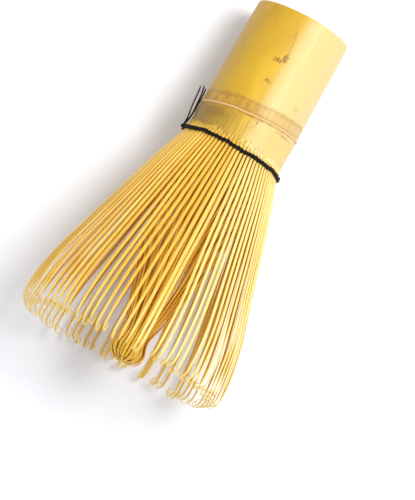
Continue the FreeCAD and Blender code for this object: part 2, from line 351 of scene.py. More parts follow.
def bamboo_skin():
    """Skin, node, scraped neck and cut end of the handle, in one material."""
    made, tree, shader = new_material("sun-dried bamboo skin")
    place = add(tree, "Attribute", attribute_name="place").outputs["Vector"]
    skin = add(tree, "Attribute", attribute_name="skin").outputs["Fac"]
    groove = add(tree, "Attribute", attribute_name="groove").outputs["Fac"]
    freed = add(tree, "Attribute", attribute_name="freed").outputs["Fac"]
    axes = add(tree, "SeparateXYZ", {0: place})
    side, up, along = axes.outputs[0], axes.outputs[1], axes.outputs[2]
    # the node sits a little oblique, so its zones are read from a height that follows it
    level = add(tree, "Attribute", attribute_name="level").outputs["Fac"]

    # broad patches where the bamboo dried unevenly, 9 mm across and 20 mm long
    patches = fibres(tree, place, 9.0, 20.0)
    fine = fibres(tree, place, 0.16, 14.0, 4.0)
    medium = fibres(tree, place, 0.7, 24.0)
    golden = ramp(tree, patches, [(0.3, "BF9310"), (0.55, "D0A416"), (0.75, "DDB022")], smooth=True)
    # the side towards the key lamp is paler yellow: partly a paler skin, partly painted light
    ragged_side = arithmetic(tree, "ADD", side, times(tree, medium, 2.0))
    bleached_and_lit = spread(tree, ragged_side, 1.0, 5.8)
    golden = mixed(tree, times(tree, bleached_and_lit, 0.85), golden, linear("EDD290"))
    # painted shade: the side away from the key lamp is painted darker olive
    painted_left_shade = spread(tree, side, -7.0, -14.0)
    golden = mixed(tree, times(tree, painted_left_shade, 0.5), golden, linear("B88C30"))

    # zones along the handle; a slow wobble keeps their edges from being drawn with a ruler
    drift = times(tree, arithmetic(tree, "SUBTRACT", fibres(tree, place, 3.0, 3.0), 0.5), 1.3)
    height = arithmetic(tree, "ADD", level, drift)
    brown_zone = band(tree, height, (28.0, 30.0), (32.4, 33.0))
    browned = ramp(tree, fibres(tree, place, 1.4, 3.0), [(0.3, "A87818"), (0.7, "CE9E34")])
    # on the lamp side the brown zone is painted paler, partly as painted light
    paler = spread(tree, bleached_and_lit, 0.0, 1.0, 0.9, 0.42)
    colour = mixed(tree, times(tree, brown_zone, paler), golden, browned)
    edge_line = band(tree, height, (28.6, 29.1), (29.3, 30.0))
    colour = mixed(tree, times(tree, edge_line, 0.35), colour, linear("8E661E"))
    neck_zone = spread(tree, height, 33.2, 33.8)
    scraped = ramp(tree, fibres(tree, place, 0.6, 12.0), [(0.3, "BC931E"), (0.7, "DAB034")])
    # painted shade: the neck's left side, away from the key lamp, is painted dark
    painted_neck_shade = times(tree, spread(tree, side, -1.0, -13.0), 0.85)
    scraped = mixed(tree, painted_neck_shade, scraped, linear("86641A"))
    # on the lamp side the scraped neck is painted paler, partly as painted light
    scraped = mixed(tree, times(tree, bleached_and_lit, 0.75), scraped, linear("EDD28A"))
    colour = mixed(tree, neck_zone, colour, scraped)
    # a strip that is cut free on both sides has lost its dull outer layer; on the lamp side it is painted
    # paler still, partly as painted light
    lighter = mixed(tree, bleached_and_lit, linear("EEC040"), linear("FAE6A0"))
    colour = mixed(tree, times(tree, freed, 0.8), colour, lighter)

    # the sheath scar's ridge: a pinkish line painted as highlight on its crest, and a broken dark line
    # painted as shade in the groove on the tips' side of it
    scar_drift = times(tree, drift, 0.12)
    exact = arithmetic(tree, "ADD", level, scar_drift)
    ridge_highlight = band(tree, exact, (32.2, 32.5), (32.85, 33.05))
    colour = mixed(tree, times(tree, ridge_highlight, 0.85), colour, linear("E2B87C"))
    breaks = spread(tree, fibres(tree, place, 1.6, 1.6), 0.34, 0.62)
    groove_shade_tipward = times(tree, band(tree, exact, (32.95, 33.12), (33.2, 33.62)), breaks)
    colour = mixed(tree, times(tree, groove_shade_tipward, 0.65), colour, linear("7E5424"))
    # a thin dark line painted as shade in the groove on the cut end's side of the ridge
    groove_shade_cutward = band(tree, exact, (31.9, 32.15), (32.2, 32.4))
    colour = mixed(tree, times(tree, groove_shade_cutward, 0.55), colour, linear("8A6224"))

    # specks and stains of the growing plant, on the upper side; the last two entries are painted shade, below
    # the ridge on the left and in the groove beside the scar on the right
    crumbs = times(tree, arithmetic(tree, "SUBTRACT", fibres(tree, place, 0.42, 0.6), 0.44), 3.2)
    upper = spread(tree, up, 0.0, 2.0)
    # each as its place (side, along), its size, its strength and its colour
    for centre, size, strength, tint in (
            ((-1.4, 15.4), (1.7, 1.2), 0.85, "865816"), ((0.4, 14.2), (1.0, 2.6), 0.85, "80520F"),
            ((-1.0, 22.2), (1.5, 0.9), 0.75, "92681F"), ((-0.3, 7.0), (0.4, 1.5), 0.6, "9C7226"),
            ((0.2, 10.2), (0.3, 4.2), 0.55, "A87C2C"), ((0.6, 18.6), (0.25, 1.8), 0.4, "A87C2C"),
            ((9.9, 24.7), (1.2, 1.3), 0.4, "B9A63C"), ((2.3, 34.6), (0.22, 1.5), 0.85, "5C3F18"),
            ((-9.5, 36.2), (5.0, 1.7), 0.5, "80601E"), ((10.6, 33.2), (3.4, 0.5), 0.5, "8F5F2C")):
        spot = soft_spot(tree, side, along, crumbs, centre, size)
        strong = times(tree, times(tree, spot, upper), strength)
        colour = mixed(tree, strong, colour, linear(tint))

    streaks = ramp(tree, fine, [(0.25, "D9D0C0"), (0.6, "FFFFFF")])
    colour = mixed(tree, 0.35, colour, streaks, "MULTIPLY")
    # painted shade inside the knife cuts, darkest where they are deepest
    colour = mixed(tree, times(tree, groove, 0.85), colour, linear("6A4610"))

    # cut end and hollow: pale wood, with the fibre bundles as dark dots about 0.5 mm apart
    bundles = add(tree, "Mapping", {0: place, 3: (2.1, 2.1, 0.08)}).outputs[0]
    cells = add(tree, "TexVoronoi", {"Vector": bundles, "Scale": 1.0})
    wood = ramp(tree, cells.outputs[0], [(0.12, "A98245"), (0.3, "E6CD93"), (0.8, "F0DCA8")])
    wood = mixed(tree, 0.5, wood, ramp(tree, medium, [(0.3, "D8BC80"), (0.7, "F4E4B8")]), "MULTIPLY")
    colour = mixed(tree, skin, wood, colour)
    tree.links.new(colour, shader.inputs["Base Color"])

    gloss = spread(tree, patches, 0.3, 0.7, 0.42, 0.52)
    gloss = add(tree, "Mix", {0: neck_zone, 2: gloss, 3: 0.52}).outputs[0]
    gloss = add(tree, "Mix", {0: skin, 2: 0.75, 3: gloss}).outputs[0]
    tree.links.new(gloss, shader.inputs["Roughness"])
    relief = arithmetic(tree, "ADD", fine, times(tree, medium, 0.8))
    bump = add(tree, "Bump", {"Height": relief, "Strength": 0.25, "Distance": 0.00006})
    tree.links.new(bump.outputs[0], shader.inputs["Normal"])
    shader.inputs["IOR"].default_value = 1.5
    shader.inputs["Coat Weight"].default_value = 0.05
    shader.inputs["Coat Roughness"].default_value = 0.22
    return made


skin_material = bamboo_skin()
print("material:", skin_material.name, len(skin_material.node_tree.nodes), "nodes")

# %% [markdown]
# ## Handle
#
# The handle is a surface of revolution, but not a perfect one: the bamboo thickens by 0.012 mm
# for each millimetre of length and is a little out of round, its node lies askew by 1.55 mm to
# each side, its cut end is not quite square, and at the thread the wall is split by 160 knife cuts
# that run out at different heights. A lathe profile gives the rings. The columns are not spaced
# evenly: each cut gets three columns of its own, so that it stays a narrow V. Cuts alternate
# between wide strips, which become outer tines, and narrow ones, which become inner tines.

# %% Handle surface
HANDLE_RADIUS = 14.3
NODE_HEIGHT = 32.7
NECK_END = 42.4
GROWTH = 0.012
NECK_RADIUS = 14.62
OBLIQUE = 1.55
OUT_OF_SQUARE = 0.25
# degrees from the middle of a wide strip to the cuts beside it, and half the width of a cut
CUT_ANGLE = 1.50
CUT_HALF_ANGLE = 0.62
CUT_DEPTH = 0.5
CUT_RUN_OUT = 0.7
chance = np.random.default_rng(7)


def lathe_profile():
    """Rings of the handle as rows of (radius, height, on the skin): a closed outline of the wall.

    It starts at the middle of the bamboo's floor, seen from the open end, runs down the hollow,
    over the cut end, along the skin, over the node and the neck, and back up inside the neck.
    """
    hollow = [(0.4, 29.4, 0), (4.0, 29.5, 0), (8.0, 29.95, 0), (10.1, 30.4, 0), (10.55, 30.0, 0),
              (10.6, 29.0, 0), (10.6, 20.0, 0), (10.6, 10.0, 0), (10.6, 0.9, 0), (10.65, 0.35, 0),
              (10.9, 0.1, 0)]
    cut = [(11.1, 0.02, 0), (12.0, 0.0, 0), (13.0, 0.0, 0), (13.75, 0.0, 0.2), (14.0, 0.06, 0.6),
           (14.2, 0.2, 1), (14.29, 0.5, 1), (14.3, 1.2, 1)]
    body = np.linspace(3.0, 27.5, 10)
    skin_rows = [(HANDLE_RADIUS + GROWTH * height, height, 1) for height in body]
    near_node = np.linspace(28.2, 36.0, 40)
    swell = GROWTH * 28.0 + 0.06 * np.clip((near_node - 28.2) / 3.8, 0, 1)
    crest = 0.36 * np.exp(-((near_node - NODE_HEIGHT) / 0.30) ** 2)
    below_crest = -0.16 * np.exp(-((near_node - 33.35) / 0.30) ** 2)
    above_crest = -0.08 * np.exp(-((near_node - 32.0) / 0.35) ** 2)
    step = 0.10 * np.clip((near_node - 33.5) / 1.5, 0, 1)
    rises = swell + crest + (below_crest + above_crest) + step
    skin_rows += [(HANDLE_RADIUS + rise, height, 1) for rise, height in zip(rises, near_node)]
    skin_rows += [(NECK_RADIUS, 37.2, 1), (NECK_RADIUS, 38.4, 1)]
    split = np.linspace(39.0, NECK_END, 24)
    skin_rows += [(NECK_RADIUS + 0.24 * ((height - 39.0) / 3.4) ** 2, height, 1) for height in split]
    inside = [(14.5, 42.5, 0.5), (13.4, 42.5, 0), (13.02, 42.3, 0), (13.0, 40.0, 0), (13.0, 35.5, 0),
              (12.7, 34.1, 0), (12.0, 33.4, 0), (8.0, 33.2, 0), (4.0, 33.2, 0), (0.4, 33.2, 0)]
    return np.array(hollow + cut + skin_rows + inside)


def handle_columns():
    """Angles of the columns, which of them run in a cut, and which in the middle of a wide strip.

    There are eight to each pitch: two cuts, a column beside each flank of them, and one in the
    middle of each of the two strips.
    """
    half_open = CUT_ANGLE - CUT_HALF_ANGLE
    within = np.array([-CUT_ANGLE, -half_open, 0.0, half_open, CUT_ANGLE,
                       CUT_ANGLE + CUT_HALF_ANGLE, PITCH / 2.0, PITCH - CUT_ANGLE - CUT_HALF_ANGLE])
    in_cut = np.array([1.0, 0, 0, 0, 1.0, 0, 0, 0])
    in_middle = np.array([0, 0, 1.0, 0, 0, 0, 0, 0])
    angles = (np.arange(TINES)[:, None] * PITCH + FIRST_ANGLE + within).ravel()
    return np.radians(angles), np.tile(in_cut, TINES), np.tile(in_middle, TINES)


def handle_piece():
    """radius(angle, height) = profile x out of round - cuts; height = row + wander - askew sin(angle)."""
    rows = lathe_profile()
    angles, in_cut, in_middle = handle_columns()
    radius = rows[:, :1] + 0.0 * angles
    height = rows[:, 1:2] + 0.0 * angles
    on_skin = rows[:, 2:] + 0.0 * angles
    round_error = 0.0035 * (np.cos(2 * angles + 0.7) - 1.0) + 0.0016 * (np.cos(3 * angles - 1.1) - 1.0)
    radius = radius * (1.0 + round_error)
    wander = 0.10 * np.sin(angles + 0.6) + 0.07 * np.sin(3 * angles) + 0.035 * np.sin(8 * angles + 2.0)
    # the node leans and wavers; level keeps the height that a straight one would have
    level = height
    askew = -OBLIQUE * np.sin(angles) * ease((level - 23.5) / 5.0) * ease((39.8 - level) / 4.4)
    height = height + on_skin * (wander * np.exp(-((height - NODE_HEIGHT) / 1.6) ** 2) + askew)
    # the saw ran a little out of square, which reaches 6 mm into the hollow and along the skin
    near_rim = ease((6.0 - level) / 6.0)
    height = height + OUT_OF_SQUARE * (1.0 - np.sin(angles)) * near_rim
    # each knife cut starts at its own height and reaches its full depth over a short run
    starts = chance.uniform(39.3, 41.1, 2 * TINES)
    cut_start = np.repeat(starts, 4)
    opened = np.clip((height - cut_start) / CUT_RUN_OUT, 0, 1)
    depth = opened * in_cut
    radius = radius + (0.035 * opened * in_middle - CUT_DEPTH * depth) * (on_skin > 0)
    strip_start = np.repeat(np.minimum(starts, np.roll(starts, -1)), 4)
    freed = np.clip((height - strip_start - 0.2) / 0.8, 0, 1) * (on_skin > 0)
    whisk = stack(radius * np.sin(angles), radius * np.cos(angles), height)
    numbers = {"skin": on_skin, "groove": depth, "freed": freed, "level": level}
    numbers = {label: values[None] for label, values in numbers.items()}
    return ring_mesh("bamboo_handle_surface", to_frame(whisk)[None], numbers, {"place": whisk[None]})


handle = handle_piece()
finish_piece(handle, skin_material, "bamboo_handle")
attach(handle, "handle")
print("handle:", len(handle.data.polygons), "faces")

# %% [markdown]
# ## Split bamboo
#
# A tine is a splinter of the same wall. Its outer face is a strip of the yellow skin, its
# sides and inner face are the paler wood that a knife leaves, and the tips are shaved so thin
# that they look lighter; they are painted paler still, as painted light on the curls. Tines on
# the key lamp's side are painted paler as well, as painted light. Every tine dried a little
# differently, so each has its own tone. The inner tines come from under the fan and are painted
# darker and more orange, as painted shade. Light between the tines turns warm by itself,
# because each one is lit by its neighbours.


# %% Material: split and shaved bamboo
def split_bamboo(name, skin_tones, wood_tones, tip_tone, root_tone):
    """Tine material: skin and wood colours as (dark, light), then the colours of tip and root."""
    made, tree, shader = new_material(name)
    place = add(tree, "Attribute", attribute_name="fibre").outputs["Vector"]
    tone = add(tree, "Attribute", attribute_name="tone").outputs["Fac"]
    outward = add(tree, "Attribute", attribute_name="outward").outputs["Fac"]
    ahead = add(tree, "Attribute", attribute_name="ahead").outputs["Fac"]
    # fibre bundles of bamboo are 0.1 to 0.2 mm across and run the whole length of a tine
    fine = fibres(tree, place, 0.13, 9.0, 3.0)
    cloud = fibres(tree, place, 1.5, 12.0, 2.0)
    varied = arithmetic(tree, "ADD", times(tree, tone, 0.65), times(tree, cloud, 0.35))
    skin = ramp(tree, varied, [(0.1, skin_tones[0]), (0.9, skin_tones[1])])
    # painted light: tines on the key lamp's side are painted paler, on their skin side most
    bleached_and_lit = add(tree, "Attribute", attribute_name="bleached_and_lit").outputs["Fac"]
    skin = mixed(tree, times(tree, bleached_and_lit, 0.75), skin, linear("FCE898"))
    wood = ramp(tree, varied, [(0.1, wood_tones[0]), (0.9, wood_tones[1])])
    colour = mixed(tree, spread(tree, outward, -0.1, 0.55), wood, skin)
    # tips paler: partly the thin shaved bamboo's own colour, partly painted light that lifts the curls out of
    # their shade
    shaved_and_lit_tip = times(tree, spread(tree, ahead, 0.76, 0.96), 0.85)
    colour = mixed(tree, shaved_and_lit_tip, colour, linear(tip_tone))
    near_root = times(tree, spread(tree, ahead, 0.12, 0.0), 0.4)
    colour = mixed(tree, near_root, colour, linear(root_tone))
    streaks = ramp(tree, fine, [(0.3, "C8A464"), (0.62, "FFFFFF")])
    colour = mixed(tree, 0.45, colour, streaks, "MULTIPLY")
    tree.links.new(colour, shader.inputs["Base Color"])
    gloss = spread(tree, outward, 0.0, 0.7, 0.55, 0.36)
    tree.links.new(gloss, shader.inputs["Roughness"])
    bump = add(tree, "Bump", {"Height": fine, "Strength": 0.3, "Distance": 0.00004})
    tree.links.new(bump.outputs[0], shader.inputs["Normal"])
    shader.inputs["IOR"].default_value = 1.5
    # half a millimetre of bamboo lets some light through, and what comes out is orange
    shader.inputs["Subsurface Weight"].default_value = 0.25
    shader.inputs["Subsurface Radius"].default_value = (1.0, 0.6, 0.15)
    shader.inputs["Subsurface Scale"].default_value = 0.0006
    return made


outer_material = split_bamboo(
    "split bamboo, outer tines", ("EEB934", "FBDA62"), ("DEA01E", "ECBC3A"), "FBE284", "EEC044")
# painted shade: the inner tines get darker, more orange colours for the shade under the fan
shaded_inner_material = split_bamboo(
    "split bamboo with painted shade, inner tines", ("E39E18", "F8C434"), ("CC8410", "E6A222"), "FFD848", "BA7812")
print("materials:", outer_material.name, "|", shaded_inner_material.name)

# %% [markdown]
# ## A tine as a bent strip
#
# A tine lies in a plane through the whisk's axis. What a maker does to it is to bend it, so
# the natural description is how much it turns along its length: straight from the root, a kink
# outwards at the thread, a long straight flare, a slow turn back at the belly, then the curl
# that is pressed in with a hot iron. lean(s), the angle to the axis, is the sum of those turns,
# each eased in over its own run, and the centre line is the running sum of (sin lean, cos lean).
# A cross-section with rounded corners, the same on its inner and skin sides, is carried along that line.


# %% Bent strips
def stations(lengths, counts):
    """Places along a tine: counts of samples for the runs before the curl and for the curl."""
    before, curl = lengths
    first = np.linspace(0.0, before, counts[0], endpoint=False)
    return np.concatenate([first, np.linspace(before, before + curl, counts[1])])


def centre_line(root, lengths, turns, places):
    """radius(s) and height(s) of bent strips: lengths and turns have the shape (tines, runs)."""
    starts = np.cumsum(lengths, axis=1) - lengths
    share = (places[None, :, None] - starts[:, None, :]) / lengths[:, None, :]
    lean = (np.radians(turns)[:, None, :] * np.clip(share, 0.0, 1.0)).sum(axis=2)
    step = np.diff(places)
    middle = (lean[:, 1:] + lean[:, :-1]) / 2.0
    start = np.zeros((len(lean), 1))
    outwards = np.cumsum(np.sin(middle) * step, axis=1)
    onwards = np.cumsum(np.cos(middle) * step, axis=1)
    radius = root[0] + np.concatenate([start, outwards], axis=1)
    height = root[1] + np.concatenate([start, onwards], axis=1)
    return radius, height


def carry(line, across, widths, thicknesses, ring):
    """Carry a cross-section along lines of (tines, places, 3); across is the side direction.

    The ring is a superellipse: x = half width * cos^0.6, y = half thickness * sin^0.8, so the
    strip has rounded corners. Returns the points and how far each one faces outwards.
    """
    ahead = np.gradient(line, axis=1)
    ahead = ahead / np.linalg.norm(ahead, axis=2, keepdims=True)
    outward = np.cross(ahead, across)
    outward = outward / np.linalg.norm(outward, axis=2, keepdims=True)
    sideways = np.cross(outward, ahead)
    turn = np.linspace(0.0, 2.0 * np.pi, ring, endpoint=False) + np.pi / ring
    x = np.sign(np.cos(turn)) * np.abs(np.cos(turn)) ** 0.6
    y = np.sign(np.sin(turn)) * np.abs(np.sin(turn)) ** 0.8
    flat = x * widths[..., None] / 2.0
    deep = y * thicknesses[..., None] / 2.0
    points = (line[:, :, None] + flat[..., None] * sideways[:, :, None]
              + deep[..., None] * outward[:, :, None])
    return points, flat, deep, np.broadcast_to(np.sin(turn), flat.shape)


def tine_piece(name, line, across, widths, thicknesses, tones, bleached_and_lit, places, ring):
    """One mesh of several tines, with the attributes that the bamboo material reads."""
    points, flat, deep, outward = carry(line, across, widths, thicknesses, ring)
    along = np.broadcast_to(places[None, :, None], flat.shape)
    own = tones[:, None, None] * 300.0
    ahead = along / places[-1]
    numbers = {"tone": tones[:, None, None], "bleached_and_lit": bleached_and_lit[:, None, None],
               "outward": outward, "ahead": ahead}
    return ring_mesh(name, to_frame(points), numbers, {"fibre": stack(flat + own, deep, along + own)})


# %% [markdown]
# ## Outer tines
#
# Sixteen pieces of five tines, as the CAD model has them, because each group bends at the
# thread on its own. Even the neatest whisk is irregular after its first use, so flare, length,
# curl and the way a tine leans to one side all vary a little. The lowest tines are pressed in
# by the whisk's weight: their flare is reduced until they just touch the floor.

# %% Outer tines
OUTER_ROOT = (14.68, 41.6)
# runs along a tine as (length in mm, turn in degrees): root, kink at the thread, flare, belly
FLARE_RUNS = np.array([(1.2, 0.0), (1.5, 20.5), (6.0, -0.7), (8.0, -2.9), (30.9, 0.0), (13.6, -9.6),
                       (5.8, -8.0)])
CURL_RUNS = np.array([(3.8, -76.0), (2.3, -132.0), (1.5, -80.0)])
FLARE_LENGTH = FLARE_RUNS[:, 0].sum()
CURL_LENGTH = CURL_RUNS[:, 0].sum()
OUTER_PLACES = stations((FLARE_LENGTH, CURL_LENGTH), (46, 54))
# tines of one group stand closer at the tips than at the root, so that groups can pass each other
TIP_PITCH = 4.25
WIDEST_HALF = 0.5
LEAST_FLARE = 0.8
HALVINGS = 22
PRESSED_SHORTER = 1.6
# tines that cling to a neighbour, some partly running through it: tine number and shift in mm
STRAYS = {37: 1.5, 38: -0.1, 39: -1.8, 34: -0.7, 4: -0.5, 5: 0.6, 73: 0.5, 74: -0.4}
outer_widths = np.interp(OUTER_PLACES, [0, 3, 12, 45, 60, 68, 75], [0.76, 0.90, 1.00, 0.99, 0.90, 0.68, 0.40])
outer_depths = np.interp(OUTER_PLACES, [0, 3, 12, 45, 60, 66, 75], [0.5, 0.55, 0.52, 0.46, 0.34, 0.24, 0.13])
# how much of a tine's sideways lean has grown at each place, from none at the root
grown = ease((OUTER_PLACES - 4.0) / 58.0)


def floor_reach(radius, height, angle, sway):
    """How far each tine reaches below the floor, in mm; negative when it hangs free."""
    skin = radius + outer_depths / 2.0
    aside = (np.sin(angle) * sway + np.abs(np.sin(angle)) * WIDEST_HALF)[:, None] * grown
    drop = aside - np.cos(angle)[:, None] * skin
    return (drop * TILT_COSINE - height * TILT_SINE).max(axis=1) - FLOOR_UNDER_AXIS


def rest_on_floor(lengths, turns, angle, sway):
    """Halve the interval of each tine's flare factor until the tine only touches the floor."""
    low = np.full(len(angle), LEAST_FLARE)
    high = np.ones(len(angle))
    flaring = np.arange(turns.shape[1]) < len(FLARE_RUNS)
    for halving in range(HALVINGS):
        middle = (low + high) / 2.0 if halving else high
        scaled = np.where(flaring, turns * middle[:, None], turns)
        radius, height = centre_line(OUTER_ROOT, lengths, scaled, OUTER_PLACES)
        too_low = floor_reach(radius, height, angle, sway) > 0.0
        high = np.where(too_low, middle, high)
        low = np.where(too_low, low, middle)
    return np.where(flaring, turns * low[:, None], turns)


def outer_numbers():
    """Everything that varies from tine to tine, drawn once for all eighty."""
    number = np.arange(TINES)
    group = number // PER_GROUP
    seat = number % PER_GROUP - (PER_GROUP - 1) / 2.0
    root_angle = np.radians(FIRST_ANGLE + group * 360.0 / GROUPS + seat * PITCH)
    tip_angle = np.radians(FIRST_ANGLE + group * 360.0 / GROUPS + seat * TIP_PITCH)
    runs = np.concatenate([FLARE_RUNS, CURL_RUNS])
    lengths = np.tile(runs[:, 0], (TINES, 1))
    turns = np.tile(runs[:, 1], (TINES, 1))
    lengths[:, 4] *= chance.normal(1.0, 0.012, TINES)
    # the tines that carry the weight came out of the mould a little shorter
    lengths[:, 4] -= PRESSED_SHORTER * ease((-np.cos(root_angle) - 0.8) / 0.15)
    turns[:, 1:7] *= chance.normal(1.0, 0.008, TINES)[:, None]
    turns[:, 7] *= chance.uniform(0.86, 1.08, TINES)
    turns[:, 8] *= chance.uniform(0.7, 1.25, TINES)
    turns[:, 9] *= chance.uniform(0.3, 1.5, TINES)
    sway = chance.normal(0.0, 0.32, TINES)
    sway = np.where(np.abs(seat) > 1.5, -np.sign(seat) * np.abs(sway) * 0.8, sway)
    sway = np.clip(sway, -0.7, 0.7)
    return root_angle, tip_angle, lengths, turns, sway


root_angle, tip_angle, lengths, turns, sway = outer_numbers()
for number, aside in STRAYS.items():
    sway[number] += aside
turns = rest_on_floor(lengths, turns, tip_angle, sway)
radius, height = centre_line(OUTER_ROOT, lengths, turns, OUTER_PLACES)
angle = root_angle[:, None] + (tip_angle - root_angle)[:, None] * grown
slowness = chance.uniform(6.0, 11.0, (TINES, 1))
waver = 0.10 * np.sin(OUTER_PLACES / slowness + chance.uniform(0, 6.3, (TINES, 1)))
shift = sway[:, None] * grown ** 1.5 + waver * grown
outer_line = stack(radius * np.sin(angle) + shift * np.cos(angle),
                   radius * np.cos(angle) - shift * np.sin(angle), height)
outer_across = stack(np.cos(root_angle), -np.sin(root_angle), 0.0 * root_angle)[:, None]
width_each = chance.normal(1.0, 0.05, (TINES, 1)).clip(0.88, 1.08)
outer_tones = chance.uniform(0.0, 1.0, TINES)
# painted light: tines on the key lamp's side get the paler colour
outer_bleached_and_lit = ease((np.sin(root_angle) + 0.15) / 0.7)
for group in range(GROUPS):
    five = slice(group * PER_GROUP, (group + 1) * PER_GROUP)
    piece = tine_piece(
        "outer_tines_%02d_bamboo" % (group + 1), outer_line[five], outer_across[five],
        outer_widths * width_each[five], outer_depths * np.ones((PER_GROUP, 1)), outer_tones[five],
        outer_bleached_and_lit[five], OUTER_PLACES, 12)
    finish_piece(piece, outer_material, "outer_tines_%02d" % (group + 1))
    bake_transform(piece)
print("outer tines: widest at", round(radius.max(), 2), "mm from the axis, longest", round(height.max(), 2))

# %% [markdown]
# ## Inner tines
#
# The narrow splinters between the outer tines bend the other way, into one bundle. They curve
# in slowly, straighten out where they meet, and their tips roll over the end of the bundle,
# which makes a small ball like a closed flower. Half of the tines form the outside and the others
# lie below them in two more layers. That keeps the tines only roughly apart: no tine is bent aside
# for its neighbour, so where they are gathered and in the ball many run through one another.

# %% Inner tines
INNER_ROOT = (13.5, 42.0)
INNER_PLACES = stations((57.5, 20.0), (38, 64))
INNER_STRAIGHT = 1.6
# for each layer: (sweep, radius it reaches, run and turn of the swelling, run and turn of the roll)
LAYERS = ((56.2, 4.4, 5.4, 45.0, 12.0, -255.0),
          (56.4, 3.3, 4.8, 40.0, 9.0, -255.0),
          (56.7, 2.0, 4.0, 33.0, 5.8, -238.0))
LAYER_ORDER = np.array([0, 1, 0, 2])


def inner_numbers():
    """Runs and turns of all eighty inner tines, by layer, with their small differences."""
    number = np.arange(TINES)
    layer = LAYER_ORDER[number % len(LAYER_ORDER)]
    table = np.array(LAYERS)[layer]
    inward = INNER_ROOT[0] - table[:, 1] + chance.normal(0.0, 0.18, TINES)
    lean = 2.0 * np.arctan2(inward, table[:, 0])
    sweep = table[:, 0] / np.sin(lean) * lean
    straight = np.full(TINES, INNER_STRAIGHT)
    lengths = np.stack([straight, sweep, table[:, 2], table[:, 4]], axis=1)
    roll = table[:, 5] * chance.uniform(0.82, 1.05, TINES)
    turns = np.stack([0 * straight, -np.degrees(lean), table[:, 3], roll], axis=1)
    angle = np.radians(FIRST_ANGLE + number * PITCH - 2 * PITCH + PITCH / 2.0)
    lengths[:, 1] *= chance.normal(1.0, 0.006, TINES)
    return angle, lengths, turns


inner_angle, inner_lengths, inner_turns = inner_numbers()
inner_radius, inner_height = centre_line(INNER_ROOT, inner_lengths, inner_turns, INNER_PLACES)
gathered = ease((INNER_PLACES - 20.0) / 40.0)
# the bundle leans a little to the right and sags, and its tines twist round it by a few degrees
twist = inner_angle[:, None] + gathered * (0.10 + chance.normal(0.0, 0.05, (TINES, 1)))
inner_line = stack(inner_radius * np.sin(twist) + 1.7 * gathered,
                   inner_radius * np.cos(twist) - 0.8 * gathered, inner_height)
inner_across = stack(np.cos(twist[:, -1]), -np.sin(twist[:, -1]), 0.0 * inner_angle)[:, None]
inner_widths = np.interp(INNER_PLACES, [0, 4, 50, 64, 78], [0.38, 0.48, 0.62, 0.68, 0.44])
inner_depths = np.interp(INNER_PLACES, [0, 4, 50, 64, 78], [0.30, 0.36, 0.32, 0.26, 0.14])
inner_tones = chance.uniform(0.0, 1.0, TINES)
for group in range(GROUPS):
    five = slice(group * PER_GROUP, (group + 1) * PER_GROUP)
    piece = tine_piece(
        "inner_tines_%02d_bamboo" % (group + 1), inner_line[five], inner_across[five],
        inner_widths * np.ones((PER_GROUP, 1)), inner_depths * np.ones((PER_GROUP, 1)), inner_tones[five],
        0.0 * inner_tones[five], INNER_PLACES, 10)
    finish_piece(piece, shaded_inner_material, "inner_tines_%02d" % (group + 1))
    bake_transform(piece)
print("inner tines: longest", round(inner_height.max(), 2), "mm")

# %% [markdown]
# ## Thread
#
# The thread is cotton or linen, twisted from three yarns and dyed black. Two strands are twined
# round the ring of outer tines: each lies high over one tine and low over the next, partly sunk
# into it, and the two change places in between, so they look like one rope round the neck. Its
# yarns give it a fine slanted relief, and a few loose fibres catch the light.


# %% Material: black cotton thread
def black_thread():
    """Dyed cotton: nearly black, matt, with a faint grey sheen on the crest of each yarn."""
    made, tree, shader = new_material("black cotton thread")
    place = add(tree, "Attribute", attribute_name="fibre").outputs["Vector"]
    crest = add(tree, "Attribute", attribute_name="crest").outputs["Fac"]
    fuzz = fibres(tree, place, 0.05, 0.4, 3.0)
    colour = ramp(tree, crest, [(0.0, "080605"), (1.0, "211B17")])
    colour = mixed(tree, 0.5, colour, ramp(tree, fuzz, [(0.35, "6A6058"), (0.7, "FFFFFF")]), "MULTIPLY")
    tree.links.new(colour, shader.inputs["Base Color"])
    tree.links.new(spread(tree, fuzz, 0.3, 0.7, 0.65, 0.85), shader.inputs["Roughness"])
    bump = add(tree, "Bump", {"Height": fuzz, "Strength": 0.5, "Distance": 0.00005})
    tree.links.new(bump.outputs[0], shader.inputs["Normal"])
    shader.inputs["Specular IOR Level"].default_value = 0.2
    shader.inputs["Sheen Weight"].default_value = 0.06
    shader.inputs["Sheen Roughness"].default_value = 0.4
    return made


thread_material = black_thread()
THREAD_HEIGHT = 43.0


